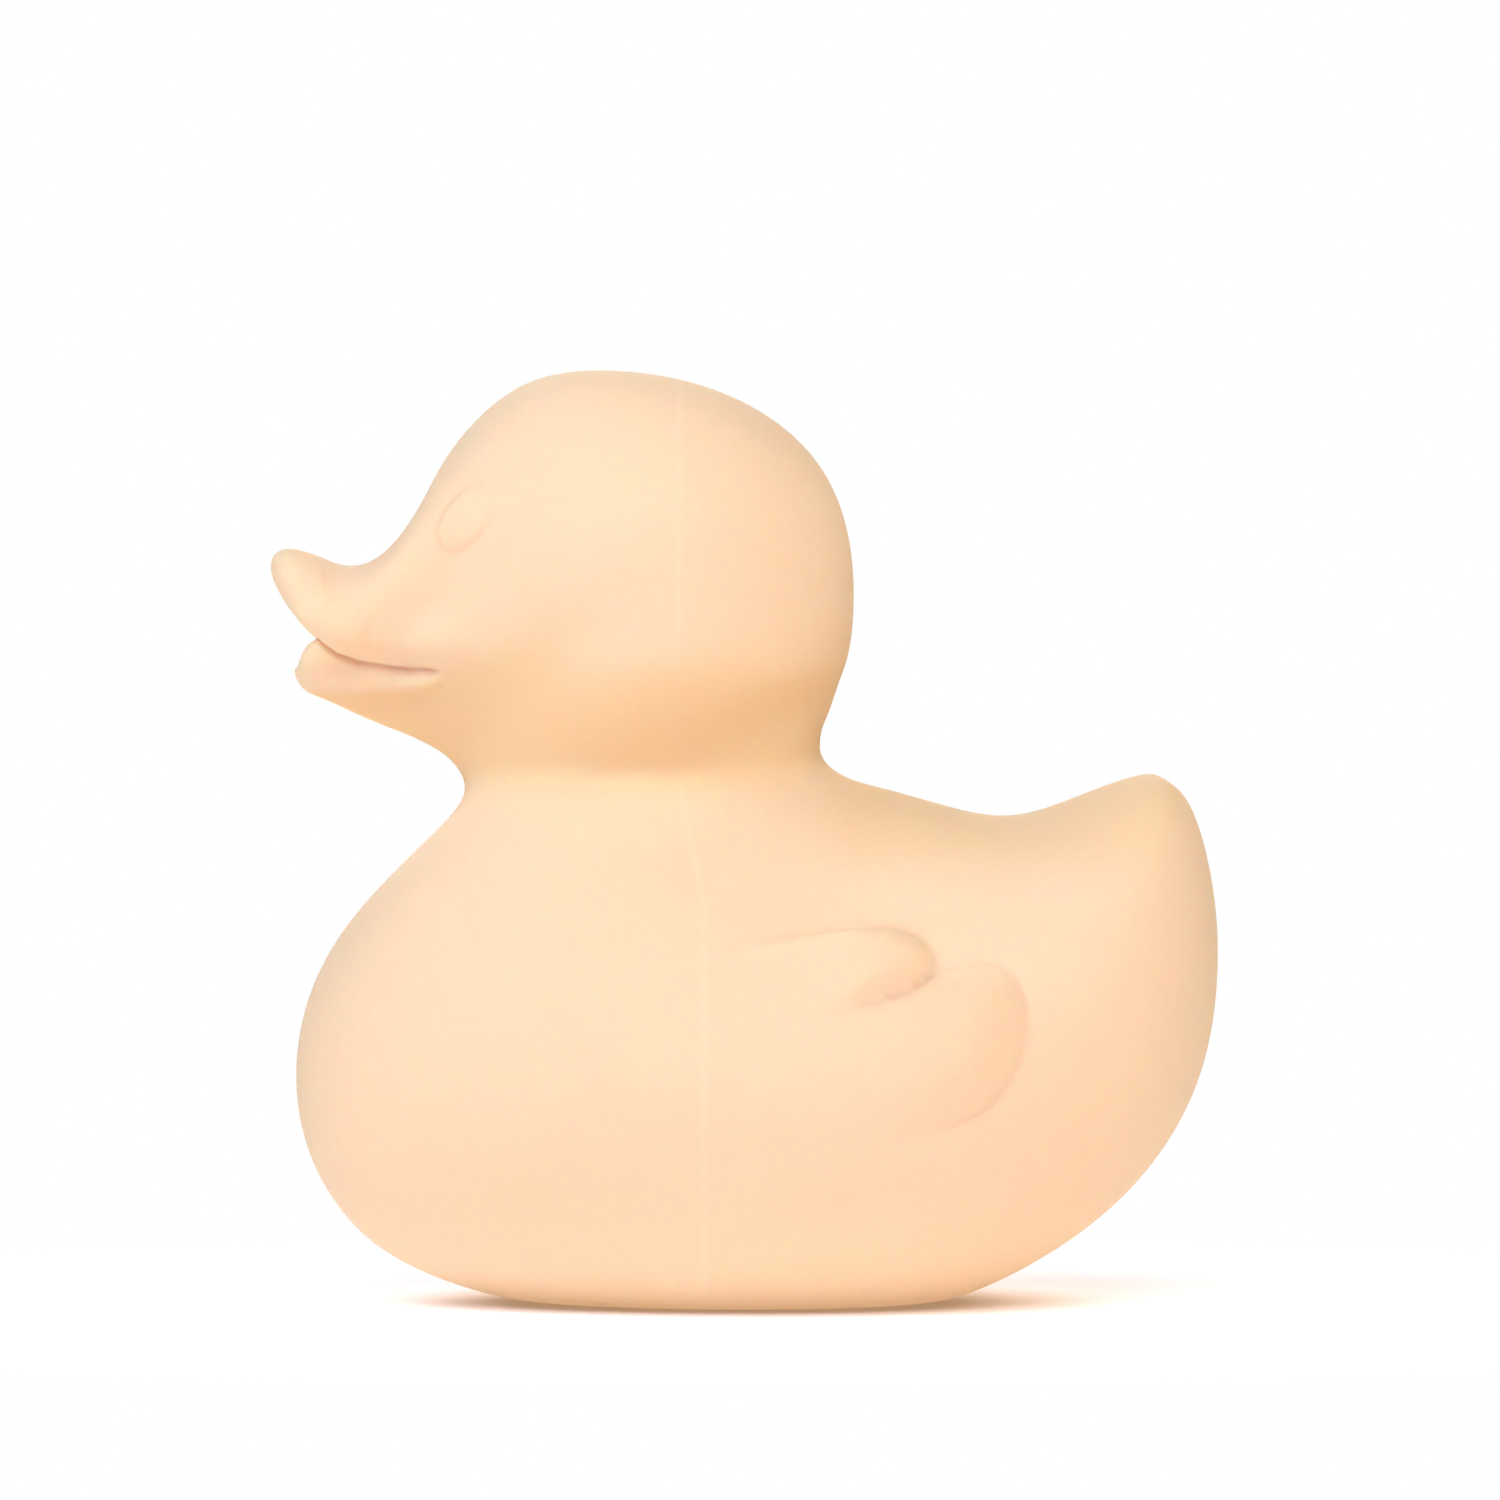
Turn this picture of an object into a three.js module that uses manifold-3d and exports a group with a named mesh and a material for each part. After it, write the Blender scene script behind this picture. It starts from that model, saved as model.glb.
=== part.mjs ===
import * as THREE from 'three';
import { mergeVertices } from 'three/addons/utils/BufferGeometryUtils.js';
import Module from 'manifold-3d';

// Rubber duck in one moulding, in millimetres: beak toward -X, +Z up, origin under the middle of its box.

const wasm = await Module();
wasm.setup();

// Ribs of the skin, from the tip of the tail to the tip of the upper bill.
// A rib is a straight line across the side view from the upper outline to the lower one.
// Each row: upper x, z, lower x, z, then the half width carried at the upper end, middle and lower end.
const RIBS = [
  [47.1, 57.8, 47.1, 57.8, 0, 0, 0],
  [44.4, 58.6, 49.4, 55.4, 6.5, 8, 8],
  [37.9, 56.5, 51.5, 49.1, 12.5, 16.5, 17],
  [30.1, 54.1, 52.6, 39.7, 17, 24, 25],
  [22.9, 55, 51.4, 28, 16.5, 29.5, 31],
  [16.8, 56.7, 46.5, 17.1, 16.5, 33, 36],
  [12.7, 57.8, 36.8, 7.4, 16.5, 35.5, 39],
  [10.3, 58.9, 21.8, -0.1, 17, 37, 41],
  [9, 60.1, 4, -2.9, 18, 37.3, 42],
  [8.5, 61.3, -13.7, -2.1, 19, 37, 42],
  [8.5, 62.4, -29.3, 1.2, 20, 36, 41],
  [8.7, 63.6, -41.4, 6.9, 20.5, 34, 38.5],
  [9.2, 64.9, -48.4, 17.2, 20.5, 31, 35],
  [9.7, 66.2, -49.4, 29.1, 20, 27.2, 30.5],
  [10.2, 67.7, -45.3, 40, 20, 23.6, 26],
  [10.8, 69.4, -37.7, 48.9, 20, 21.6, 22],
  [11.6, 71.9, -32.1, 54.6, 20, 21.4, 18.5],
  [12.2, 76.9, -31.1, 57.9, 19, 22, 15],
  [11.6, 85.2, -32.7, 60.3, 20.5, 22.4, 12.5],
  [7.6, 94, -34.7, 61.7, 23.5, 22.3, 10.5],
  [-1, 100.4, -36.9, 62.8, 24.5, 21.3, 8.5],
  [-11.5, 103.2, -38.9, 63.6, 23, 17.6, 7.5],
  [-21.5, 102.9, -40.9, 64.4, 18, 12, 7],
  [-28.6, 99, -43, 65.3, 10.5, 9.5, 7.3],
  [-33.9, 92.3, -45.1, 66.3, 6, 8.6, 7.3],
  [-37.7, 85.1, -47.2, 67.2, 7, 8.8, 7],
  [-43.1, 81.8, -49.1, 68.4, 10, 8.8, 6.5],
  [-47.6, 82.9, -49.9, 70.8, 9.6, 8.1, 6],
  [-51.1, 83.6, -50.9, 74.7, 6.2, 5.6, 4.8],
  [-52.6, 80.9, -52.6, 80.9, 0, 0, 0],
];
const ROWS_PER_RIB = 3;
const AROUND = 40;
const CURVE_TENSION = 0.5;
const HEAD_RIBS = [19, 28];
const BODY_RIBS = [2, 14];
const HALVINGS = 40;

// Neck: a fold under the head, long above it where the head curves under, short below at the shoulder
const NECK_LINE = [[-31, 59.2], [-25, 58.9], [-16, 58.6], [-5, 59.0], [6, 60.2], [11, 62.4]];
const NECK_PINCH = [[-20, 0.35], [-8, 0.27], [10, 0.25]];
const NECK_ABOVE = 12.5;
const NECK_BELOW = 7;
const NECK_SOFT = 1.8;

// Wing: two rounded feathers that stand proud of the side and fade out toward the front
const WING_RISE = 3.0;
const WING_FRONT_RISE = 0.25;
const WING_SINK = 0.15;
const WING_FADE_FROM = -5;
const WING_FADE_TO = 16;
const WING_FADE_SLANT = 0.84;
const WING_TOP = 41;
const WING_DEPTH = 3;
const UPPER_FEATHER = [[-18.2, 31.5], [-16.2, 35.6], [-10.4, 38.3], [-4.1, 39.4], [2, 40.3], [8, 41.1],
  [14, 41.6], [17.6, 40.8], [20.2, 39.2], [21.2, 37.3], [19.8, 35.4], [17, 34], [14, 32.9], [8, 31], [0, 29],
  [-8, 27.6], [-15, 27.4]];
const LOWER_FEATHER = [[-18.3, 29.5], [-15, 32.5], [-8, 34.5], [2, 35.4], [12, 35.6], [19, 36.3],
  [23.5, 37.4], [27.6, 37.3], [30, 35.5], [30.9, 32.3], [30.6, 28.7], [28.9, 25], [26.2, 22.2], [22.4, 20.2],
  [17.9, 18.7], [11.8, 18], [4, 17.8], [-4.9, 18.6], [-11.5, 20.6], [-16.2, 24.2]];
const UPPER_SPINE = [[-12, 33], [14.5, 37.2]];
const LOWER_SPINE = [[-9, 27], [22.5, 29.2]];
const EDGE_STEPS = 2;

// Rows of a feather from its middle out to its outline, as shares of the way, and back under the skin
const OUTER_ROWS = [0, 0.35, 0.6, 0.78, 0.9, 1];
const INNER_ROWS = [0.8, 0];

// Rounding of each feather's edge: its width along the feather and at the rear end, and where it widens;
// the share of the height is the small step left at the outline
const EDGE_SHARE = 0.3;
const UPPER_EDGE = { along: 4, rear: 5, from: 10, to: 19 };
const LOWER_EDGE = { along: 6, rear: 8, from: 18, to: 27 };

// Lower feather sinks where it comes out from under the upper one
const DIP = 0.6;
const DIP_REACH = 3.2;
const DIP_FROM = 8;
const DIP_TO = 17;

// Eye: a plain oval dome, its long axis along the slope of the forehead
const EYE = [-30.3, 87.0];
const EYE_LONG = 4.4;
const EYE_SHORT = 2.8;
const EYE_RISE = 0.8;
const EYE_LEAN = 0.85;
const EYE_AROUND = 20;
const EYE_ACROSS = 10;
const EYE_NUDGE = 0.5;

// Mouth: a groove along each side of the bill that opens to a wedge at the front
const MOUTH_LINE = [[-47.7, 73.6], [-44.9, 71.9], [-42.6, 71.1], [-38.2, 70.4], [-33.1, 70.0]];
const MOUTH_FRONT = [-50.6, 75.0];
const MOUTH_RADIUS = 0.6;
const MOUTH_STEPS = 40;
const MOUTH_SIDES = 5;
const WEDGE = [[-54.5, 82.2], [-52.1, 79.3], [-50.8, 77.4], [-49.2, 75.5], [-47.4, 73.7], [-48.2, 73],
  [-49.1, 71.8], [-49.8, 70.4], [-54.5, 69.6]];
const WEDGE_REACH = 20;

// Fullness of the upper bill above the mouth line and the roll of the lower lip under it
const BILL_RISE = 2.0;
const BILL_UP = 4.2;
const BILL_REACH = 3.4;
const BILL_END = [-36, -26];
const BILL_FRONT = [-51, -46];
const LIP_RISE = 0.9;
const LIP_DROP = 1.4;
const LIP_REACH = 1.2;
const LIP_END = [-34.8, -32.6];
const BILL_HALF_WIDTH = 8.5;

// Flat underside: the skin is raised to the ground, with a soft turn into the flanks
const SIT_ROUND = 1.4;

// Rubber
const COLOUR = 0xf3d4b3;
const ROUGHNESS = 0.65;

const { smoothstep, mapLinear, clamp } = THREE.MathUtils;

// Value at x on a broken line through pairs, level beyond its ends
function between(pairs, x) {
  const next = pairs.findIndex((pair) => pair[0] > x);
  if (next === 0) {
    return pairs[0][1];
  }
  if (next < 0) {
    return pairs[pairs.length - 1][1];
  }
  const [from, to] = [pairs[next - 1], pairs[next]];
  return mapLinear(x, from[0], to[0], from[1], to[1]);
}

// Outline of the side view as one closed curve, upper line out and lower line back
const span = RIBS.length - 1;
const upperLine = RIBS.map((rib) => new THREE.Vector3(rib[0], 0, rib[1]));
const lowerLine = RIBS.slice(1, span).reverse().map((rib) => new THREE.Vector3(rib[2], 0, rib[3]));
const outline = new THREE.CatmullRomCurve3([...upperLine, ...lowerLine], true, 'catmullrom', CURVE_TENSION);
const girth = new THREE.CatmullRomCurve3(RIBS.map((rib) => new THREE.Vector3(rib[4], rib[5], rib[6])),
  false, 'catmullrom', CURVE_TENSION);

function ribEnds(station) {
  const along = station / (2 * span);
  return [outline.getPoint(along), outline.getPoint((1 - along) % 1)];
}

// Half width of a rib at a share of its length, a parabola through its three stated widths
function halfWidth(station, share) {
  const stated = girth.getPoint(station / span);
  const fromUpper = stated.x * (1 - share) * (1 - 2 * share);
  const fromMiddle = stated.y * 4 * share * (1 - share);
  const fromLower = stated.z * share * (2 * share - 1);
  return fromUpper + fromMiddle + fromLower;
}

// Share of the rib width left at a point of the side view by the fold of the neck
function neckPinch(x, z) {
  const above = z - between(NECK_LINE, x);
  const away = Math.hypot(above, NECK_SOFT) - NECK_SOFT;
  const reach = above > 0 ? NECK_ABOVE : NECK_BELOW;
  return 1 - between(NECK_PINCH, x) * clamp(1 - away / reach, 0, 1) ** 2;
}

// Share added to the rib width by the full upper bill and the roll of the lower lip
function billSwell(x, z) {
  const above = z - between(MOUTH_LINE, x);
  const full = Math.exp(-(((above - BILL_UP) / BILL_REACH) ** 2));
  const roll = Math.exp(-(((above + LIP_DROP) / LIP_REACH) ** 2));
  const upper = BILL_RISE * full * (1 - smoothstep(x, ...BILL_END)) * smoothstep(x, ...BILL_FRONT);
  const lower = LIP_RISE * roll * (1 - smoothstep(x, ...LIP_END));
  return 1 + (upper + lower) / BILL_HALF_WIDTH;
}

const plainSwell = (x, z) => neckPinch(x, z) * billSwell(x, z);

// Height of the skin once it sits on the ground: flat below, a parabola through the turn
function sit(z) {
  if (z > SIT_ROUND) {
    return z;
  }
  return Math.max(z + SIT_ROUND, 0) ** 2 / (4 * SIT_ROUND);
}

// Faces of the skin, the same on both sides: the diagonals of one side mirror those of the other
function mirroredFaces(rows) {
  const faces = [];
  for (let row = 0; row < rows; row += 1) {
    for (let column = 0; column < AROUND; column += 1) {
      const near = row * (AROUND + 1) + column;
      const far = near + AROUND + 1;
      const firstSide = column < AROUND / 2;
      if (row > 0) {
        faces.push(near + 1, near, firstSide ? far + 1 : far);
      }
      if (row < rows - 1) {
        faces.push(firstSide ? near : near + 1, far, far + 1);
      }
    }
  }
  return faces;
}

// Closed skin over the ribs: each rib becomes an oval ring, its width multiplied by swell(x, z)
function skin(swell) {
  const rows = span * ROWS_PER_RIB;
  const geometry = new THREE.SphereGeometry(1, AROUND, rows);
  geometry.setIndex(mirroredFaces(rows));
  const position = geometry.attributes.position;
  const point = new THREE.Vector3();
  for (let row = 0; row <= rows; row += 1) {
    const station = row / ROWS_PER_RIB;
    const [upper, lower] = ribEnds(station);
    for (let column = 0; column <= AROUND; column += 1) {
      const angle = -2 * Math.PI * (column % AROUND) / AROUND;
      const share = (1 - Math.cos(angle)) / 2;
      point.lerpVectors(upper, lower, share);
      point.y = halfWidth(station, share) * swell(point.x, point.z) * Math.sin(angle);
      position.setXYZ(row * (AROUND + 1) + column, point.x, point.y, sit(point.z));
    }
  }
  return geometry;
}

// Half width of the skin at a point of the side view, by halving between two ribs on either side of it
function sideAt(x, z, ribs) {
  let [low, high] = ribs;
  const offset = (station) => {
    const [upper, lower] = ribEnds(station);
    return (lower.x - upper.x) * (z - upper.z) - (lower.z - upper.z) * (x - upper.x);
  };
  const startSign = Math.sign(offset(low));
  for (let step = 0; step < HALVINGS; step += 1) {
    const middle = (low + high) / 2;
    if (Math.sign(offset(middle)) === startSign) {
      low = middle;
    } else {
      high = middle;
    }
  }
  const [upper, lower] = ribEnds(low);
  const share = (z - upper.z) / (lower.z - upper.z);
  return halfWidth(low, share) * plainSwell(x, z) * Math.sqrt(Math.max(0, 4 * share * (1 - share)));
}

function solid(geometry) {
  geometry.deleteAttribute('normal');
  geometry.deleteAttribute('uv');
  const welded = mergeVertices(geometry);
  const mesh = new wasm.Mesh({
    numProp: 3,
    vertProperties: new Float32Array(welded.attributes.position.array),
    triVerts: new Uint32Array(welded.index.array),
  });
  return new wasm.Manifold(mesh);
}

// Prism that runs straight across the duck from an outline drawn in the side view
function across(points, reach) {
  const shape = new THREE.Shape(points);
  const prism = new THREE.ExtrudeGeometry(shape, { depth: 2 * reach, bevelEnabled: false });
  prism.rotateX(Math.PI / 2);
  prism.translate(0, reach, 0);
  return prism;
}

// Smooth closed loop in the side view
function closedLoop(pairs) {
  const corners = pairs.map((pair) => new THREE.Vector3(pair[0], pair[1], 0));
  const curve = new THREE.CatmullRomCurve3(corners, true, 'catmullrom', CURVE_TENSION);
  return curve.getPoints(pairs.length * EDGE_STEPS).slice(1);
}

// Distance from a point of the side view to a closed loop, counted positive inside it
function depthInside(loop, x, z) {
  const point = new THREE.Vector3(x, z, 0);
  const nearest = new THREE.Vector3();
  const edge = new THREE.Line3();
  let gap = Infinity;
  let inside = false;
  loop.forEach((to, index) => {
    const from = loop.at(index - 1);
    edge.set(from, to);
    edge.closestPointToPoint(point, true, nearest);
    gap = Math.min(gap, nearest.distanceTo(point));
    const crossing = mapLinear(z, from.y, to.y, from.x, to.x);
    if ((from.y > z) !== (to.y > z) && x < crossing) {
      inside = !inside;
    }
  });
  return inside ? gap : -gap;
}

// Rounded edge of a feather: a small step at its outline, full height once an edge width inside
function pillow(depth, x, edge) {
  const width = edge.along + (edge.rear - edge.along) * smoothstep(x, edge.from, edge.to);
  return 1 - (1 - EDGE_SHARE) * (1 - clamp(depth / width, 0, 1)) ** 2;
}

function wingHeight(x, z) {
  const fade = smoothstep(x + WING_FADE_SLANT * (z - WING_TOP), WING_FADE_FROM, WING_FADE_TO);
  return WING_FRONT_RISE + (WING_RISE - WING_FRONT_RISE) * fade;
}

// Feather as a flat cushion on the skin: rows of its outline drawn in toward a spine, then back inside
function feather(loop, spine, height, side) {
  const ring = side > 0 ? loop : [...loop].reverse();
  const outer = OUTER_ROWS.map((share) => [share, height]);
  const inner = INNER_ROWS.map((share) => [share, () => -WING_DEPTH]);
  const rows = [...outer, ...inner];
  const geometry = new THREE.SphereGeometry(1, ring.length, rows.length - 1);
  const position = geometry.attributes.position;
  const middle = new THREE.Line3(...spine.map((pair) => new THREE.Vector3(pair[0], pair[1], 0)));
  const start = new THREE.Vector3();
  const point = new THREE.Vector3();
  rows.forEach(([share, rise], row) => {
    for (let column = 0; column <= ring.length; column += 1) {
      const corner = ring[column % ring.length];
      if (share > 0) {
        middle.closestPointToPoint(corner, true, start);
      } else {
        middle.getCenter(start);
      }
      point.lerpVectors(start, corner, share);
      const y = sideAt(point.x, point.y, BODY_RIBS) + rise(point.x, point.y);
      position.setXYZ(row * (ring.length + 1) + column, point.x, side * y, point.y);
    }
  });
  return geometry;
}

// Body
let duck = solid(skin(plainSwell));

// Wings
const upperLoop = closedLoop(UPPER_FEATHER);
const lowerLoop = closedLoop(LOWER_FEATHER);
const upperHeight = (x, z) => {
  const round = pillow(depthInside(upperLoop, x, z), x, UPPER_EDGE);
  return wingHeight(x, z) * round - WING_SINK;
};
const lowerHeight = (x, z) => {
  const beside = Math.min(depthInside(upperLoop, x, z), 0);
  const dip = DIP * smoothstep(x, DIP_FROM, DIP_TO) * Math.exp(-((beside / DIP_REACH) ** 2));
  const round = pillow(depthInside(lowerLoop, x, z), x, LOWER_EDGE);
  return wingHeight(x, z) * (1 - dip) * round - WING_SINK;
};
for (const side of [-1, 1]) {
  duck = duck.add(solid(feather(upperLoop, UPPER_SPINE, upperHeight, side)));
  duck = duck.add(solid(feather(lowerLoop, LOWER_SPINE, lowerHeight, side)));
}

// Eyes
for (const side of [-1, 1]) {
  const [x, z] = EYE;
  const normal = new THREE.Vector3(
    (sideAt(x - EYE_NUDGE, z, HEAD_RIBS) - sideAt(x + EYE_NUDGE, z, HEAD_RIBS)) / (2 * EYE_NUDGE),
    side,
    (sideAt(x, z - EYE_NUDGE, HEAD_RIBS) - sideAt(x, z + EYE_NUDGE, HEAD_RIBS)) / (2 * EYE_NUDGE),
  ).normalize();
  const slope = new THREE.Vector3(Math.sin(EYE_LEAN), 0, Math.cos(EYE_LEAN));
  const shortAxis = new THREE.Vector3().crossVectors(slope, normal).normalize();
  const longAxis = new THREE.Vector3().crossVectors(normal, shortAxis);
  const dome = new THREE.SphereGeometry(1, EYE_AROUND, EYE_ACROSS);
  dome.scale(EYE_SHORT, EYE_LONG, EYE_RISE);
  dome.applyMatrix4(new THREE.Matrix4().makeBasis(shortAxis, longAxis, normal));
  dome.translate(x, side * sideAt(x, z, HEAD_RIBS), z);
  duck = duck.add(solid(dome));
}

// Mouth
const groovePath = [];
for (const [x, z] of [...MOUTH_LINE].reverse()) {
  groovePath.push(new THREE.Vector3(x, -sideAt(x, z, HEAD_RIBS), z));
}
groovePath.push(new THREE.Vector3(MOUTH_FRONT[0], 0, MOUTH_FRONT[1]));
for (const [x, z] of MOUTH_LINE) {
  groovePath.push(new THREE.Vector3(x, sideAt(x, z, HEAD_RIBS), z));
}
const grooveSection = new THREE.Shape();
grooveSection.absarc(0, 0, MOUTH_RADIUS, 0, 2 * Math.PI);
const groove = new THREE.ExtrudeGeometry(grooveSection, {
  steps: MOUTH_STEPS,
  curveSegments: MOUTH_SIDES,
  extrudePath: new THREE.CatmullRomCurve3(groovePath),
});
duck = duck.subtract(solid(groove));
const wedge = across(WEDGE.map((pair) => new THREE.Vector2(pair[0], pair[1])), WEDGE_REACH);
duck = duck.subtract(solid(wedge));

const result = duck.getMesh();
const finished = new THREE.BufferGeometry();
finished.setAttribute('position', new THREE.BufferAttribute(new Float32Array(result.vertProperties), 3));
finished.setIndex(new THREE.BufferAttribute(new Uint32Array(result.triVerts), 1));
finished.computeVertexNormals();

const mesh = new THREE.Mesh(finished, new THREE.MeshStandardMaterial({
  color: COLOUR,
  roughness: ROUGHNESS,
  metalness: 0,
}));
mesh.name = 'duck';
const group = new THREE.Group();
group.name = 'rubber_duck';
group.add(mesh);

export default group;
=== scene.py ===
import bpy
import numpy as np
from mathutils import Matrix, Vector


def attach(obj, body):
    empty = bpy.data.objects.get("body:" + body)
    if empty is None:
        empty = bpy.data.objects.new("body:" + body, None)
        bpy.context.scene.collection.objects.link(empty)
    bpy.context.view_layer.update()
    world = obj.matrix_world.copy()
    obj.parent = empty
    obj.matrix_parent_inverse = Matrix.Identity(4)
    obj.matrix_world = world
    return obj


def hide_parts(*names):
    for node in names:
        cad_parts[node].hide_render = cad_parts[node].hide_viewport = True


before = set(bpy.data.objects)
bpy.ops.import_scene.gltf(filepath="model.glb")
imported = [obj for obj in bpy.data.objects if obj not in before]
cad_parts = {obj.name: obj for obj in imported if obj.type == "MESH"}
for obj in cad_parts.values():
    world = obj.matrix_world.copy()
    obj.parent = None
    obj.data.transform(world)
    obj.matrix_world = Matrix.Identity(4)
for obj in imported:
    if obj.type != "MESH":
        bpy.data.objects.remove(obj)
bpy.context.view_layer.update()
mm = 0.001
print("frame: packed duck loaded")


# small helpers

def smoothStep(low, high, value):
    # 0 below low, 1 above high, an S-curve 3t^2 - 2t^3 in between
    t = np.clip((value - low) / (high - low), 0, 1)
    return t * t * (3 - 2 * t)


def closedSpline(points, at):
    # cubic spline round a closed loop of points one step apart, smooth in slope and bend;
    # the bends come from the ring of equations b[i-1] + 4 b[i] + b[i+1] = 6 (second difference)
    count = len(points)
    ring = np.eye(count)
    equations = 4 * ring + np.roll(ring, 1, 0) + np.roll(ring, -1, 0)
    second = np.roll(points, 1, 0) - 2 * points + np.roll(points, -1, 0)
    bend = np.linalg.solve(equations, 6 * second)
    start = np.floor(at).astype(int)
    f = (at - start)[:, None]
    g = 1 - f
    i = start % count
    j = (start + 1) % count
    return g * points[i] + f * points[j] + ((g ** 3 - g) * bend[i] + (f ** 3 - f) * bend[j]) / 6


def smoothLoop(points, cuts=8):
    # closed outline through the points, each stretch cut in equal steps
    return closedSpline(points, np.arange(len(points) * cuts) / cuts)


def within(place, box):
    # points inside a box of the side view (x from, to, z from, to), and this far off the middle
    x, y, z = np.moveaxis(place, -1, 0)
    return (x > box[0]) & (x < box[1]) & (z > box[2]) & (z < box[3]) & (y > box[4])


def insideDistance(x, z, outline):
    # signed distance to a closed outline, positive inside: nearest point on any of its segments,
    # and inside where a ray toward +x crosses an odd number of them
    p = np.stack([x, z], -1)[:, None, :]
    a = outline[None]
    b = np.roll(outline, -1, 0)[None]
    d = b - a
    t = np.clip(((p - a) * d).sum(-1) / (d * d).sum(-1), 0, 1)
    gap = np.sqrt((((p - a) - t[..., None] * d) ** 2).sum(-1).min(1))
    spans = (a[..., 1] > p[..., 1]) != (b[..., 1] > p[..., 1])
    rise = np.where(d[..., 1] == 0, 1, d[..., 1])
    ahead = p[..., 0] < a[..., 0] + d[..., 0] * (p[..., 1] - a[..., 1]) / rise
    inside = (spans & ahead).sum(1) % 2 == 1
    return np.where(inside, gap, -gap)


# skin of the duck, millimetres: beak toward -x, z up

skin = {
    # ribs across the side view, tail tip to bill tip:
    # upper x, z, lower x, z, half width up, mid, low
    "ribs": np.array([
        [47.1, 57.8, 47.1, 57.8, 0, 0, 0],
        [44.4, 58.6, 49.4, 55.4, 6.5, 8, 8],
        [37.9, 56.5, 51.5, 49.1, 12.5, 16.5, 17],
        [30.1, 54.1, 52.6, 39.7, 17, 24, 25],
        [22.9, 55.0, 51.4, 28.0, 16.5, 29.5, 31],
        [16.8, 56.7, 46.5, 17.1, 16.5, 33, 36],
        [12.7, 57.8, 36.8, 7.4, 16.5, 35.5, 39],
        [10.3, 58.9, 21.8, -0.1, 17, 37, 41],
        [9.0, 60.1, 4.0, -2.9, 18, 37.3, 42],
        [8.5, 61.3, -13.7, -2.1, 19, 37, 42],
        [8.5, 62.4, -29.3, 1.2, 20, 36, 41],
        [8.7, 63.6, -41.4, 6.9, 20.5, 34, 38.5],
        [9.2, 64.9, -48.4, 17.2, 20.5, 31, 35],
        [9.7, 66.2, -49.4, 29.1, 20, 27.2, 30.5],
        [10.2, 67.7, -45.3, 40.0, 20, 23.6, 26],
        [10.8, 69.4, -37.7, 48.9, 20, 21.6, 22],
        [11.6, 71.9, -32.1, 54.6, 20, 21.4, 18.5],
        [12.2, 76.9, -31.1, 57.9, 19, 22, 15],
        [11.6, 85.2, -32.7, 60.3, 20.5, 22.4, 11],
        [7.6, 94.0, -34.7, 61.7, 23.5, 22.3, 8.5],
        [-1.0, 100.4, -36.9, 62.8, 24.5, 21.3, 6.5],
        [-11.5, 103.2, -38.9, 63.6, 23, 17.6, 5.5],
        [-21.5, 102.9, -40.9, 64.4, 17.5, 13, 5],
        [-28.6, 99.0, -43.0, 65.3, 11, 11, 5],
        [-33.9, 92.3, -45.1, 66.3, 7.4, 9.8, 5],
        [-37.7, 85.1, -47.2, 67.2, 6.6, 9.3, 5],
        [-43.1, 81.8, -49.1, 68.4, 7.2, 8.9, 5],
        [-47.6, 82.9, -49.9, 70.8, 7.4, 8.1, 5],
        [-51.1, 83.6, -50.9, 74.7, 5.6, 5.6, 4.8],
        [-52.6, 80.9, -52.6, 80.9, 0, 0, 0],
    ]),
    # how many rows a rib's gap gets, at some ribs; in proportion, as the rows are shared out
    "rowsPerRib": [[0, 12], [4, 14], [5.5, 18], [8, 18], [10, 11], [13, 9], [20, 9], [22, 16], [29, 16]],
    "rows": 368,
    "columns": 264,
    "sideBias": 0.3,   # columns drawn toward the sides, where the wings are
    "sitRound": 1.4,   # how softly the flanks turn into the flat underside
}


def ribGrid(ribs, stations, angles):
    # at angle a round a rib: share = (1 - cos a) / 2 of the way from its upper to its lower end,
    # y = half width * sin a, half width a parabola through the three stated ones
    span = len(ribs) - 1
    loop = np.vstack([ribs[:, 0:2], ribs[-2:0:-1, 2:4]])
    widths = np.vstack([ribs[:, 4:7], -ribs[-2:0:-1, 4:7]])
    upper = closedSpline(loop, stations)[:, None, :]
    lower = closedSpline(loop, 2 * span - stations)[:, None, :]
    girth = closedSpline(widths, stations)[:, None, :]
    share = ((1 - np.cos(angles)) / 2)[None, :]
    half = (girth[..., 0] * (1 - share) * (1 - 2 * share) + girth[..., 1] * 4 * share * (1 - share)
            + girth[..., 2] * share * (2 * share - 1))
    side = upper + (lower - upper) * share[..., None]
    return np.stack([side[..., 0], half * np.sin(angles), side[..., 1]], -1)


def gridNormals(grid):
    # outward unit normal of each grid point: step around crossed with step along
    along = np.gradient(grid, axis=0)
    around = np.roll(grid, -1, 1) - np.roll(grid, 1, 1)
    normal = np.cross(around, along)
    normal[0] = normal[1].mean(0)
    normal[-1] = normal[-2].mean(0)
    return normal / np.maximum(np.linalg.norm(normal, axis=-1, keepdims=True), 1e-9)


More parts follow.
